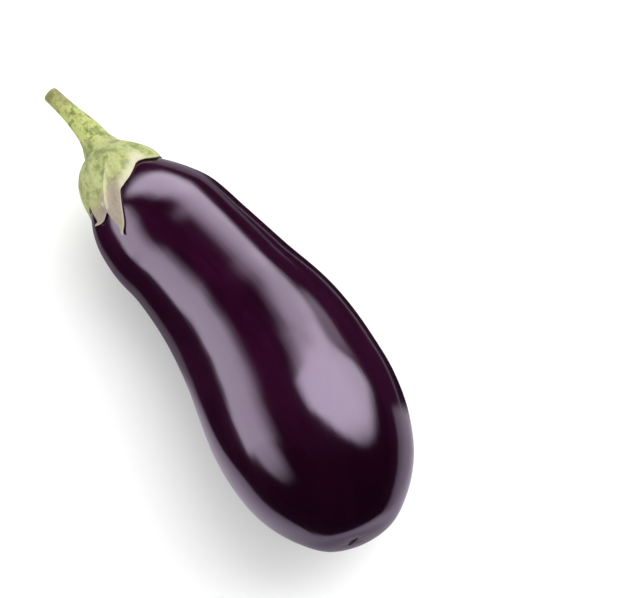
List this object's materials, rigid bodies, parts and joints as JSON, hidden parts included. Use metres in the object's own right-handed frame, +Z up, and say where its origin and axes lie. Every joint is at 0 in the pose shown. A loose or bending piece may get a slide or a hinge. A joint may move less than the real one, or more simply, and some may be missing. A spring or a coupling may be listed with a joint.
{
  "type": "eggplant",
  "caption": "Whole globe eggplant lying on its side: a smooth pear-shaped fruit with a gently bent neck, a lobed green calyx over its stem end and a tapered cut stem",
  "frame": {"origin": "middle of the small flat spot the fruit rests on, in the table plane, below the centre of mass", "axes": "+X along the fruit's length towards the blossom end (the stem points to -X), +Z up from the table, +Y completes a right-handed set"},
  "size_m": [0.252, 0.0893, 0.0848],
  "materials": {
    "skin": "glossy waxy skin, dark aubergine purple",
    "calyx": "matt fleshy yellow-green, dry and buff at the lobe tips",
    "stem": "matt yellow-green with olive mottling"
  },
  "bodies": {
    "root": {"fruit": "skin", "calyx": "calyx", "stem": "stem"}
  },
  "joints": []
}
